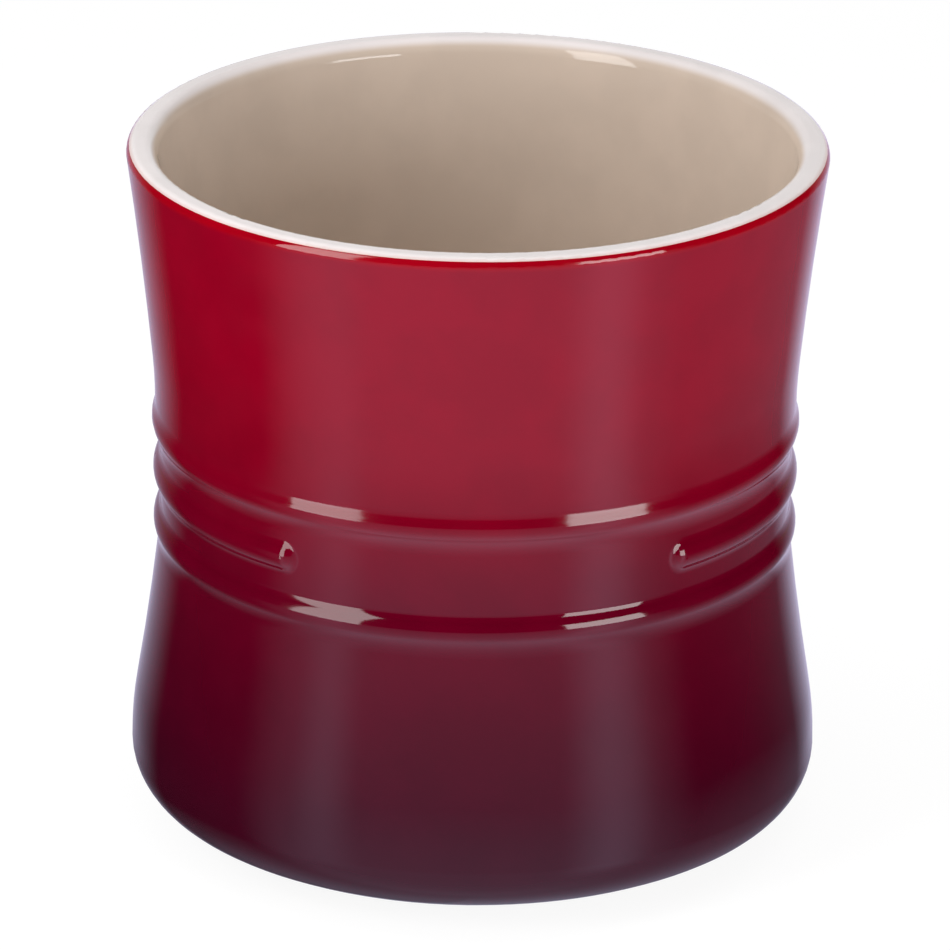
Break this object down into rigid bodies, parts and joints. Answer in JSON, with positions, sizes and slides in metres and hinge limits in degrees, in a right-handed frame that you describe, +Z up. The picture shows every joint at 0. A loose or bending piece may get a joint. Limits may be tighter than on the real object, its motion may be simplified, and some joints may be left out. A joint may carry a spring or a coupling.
{
  "type": "utensil crock",
  "caption": "Open round stoneware crock with a narrow waist, ring beads, a flared rim and a rounded base, for standing kitchen utensils in.",
  "frame": {"origin": "on the pot's axis, in the plane of the foot ring's ground flat", "axes": "+Z up along the pot's axis, the bare front panel faces -Y, +X to the right seen from the front"},
  "size_m": [0.165, 0.165, 0.1688],
  "materials": {
    "stoneware": "bare fired stoneware, matt, ground flat on the foot ring",
    "outer_glaze": "glossy red glaze, bright at the rim and darker towards the base",
    "inner_glaze": "glossy warm cream glaze",
    "base_glaze": "glossy dark red glaze"
  },
  "bodies": {
    "root": {"stoneware_body": "stoneware", "outer_glaze": "outer_glaze", "inner_glaze": "inner_glaze", "base_glaze": "base_glaze"}
  },
  "joints": []
}
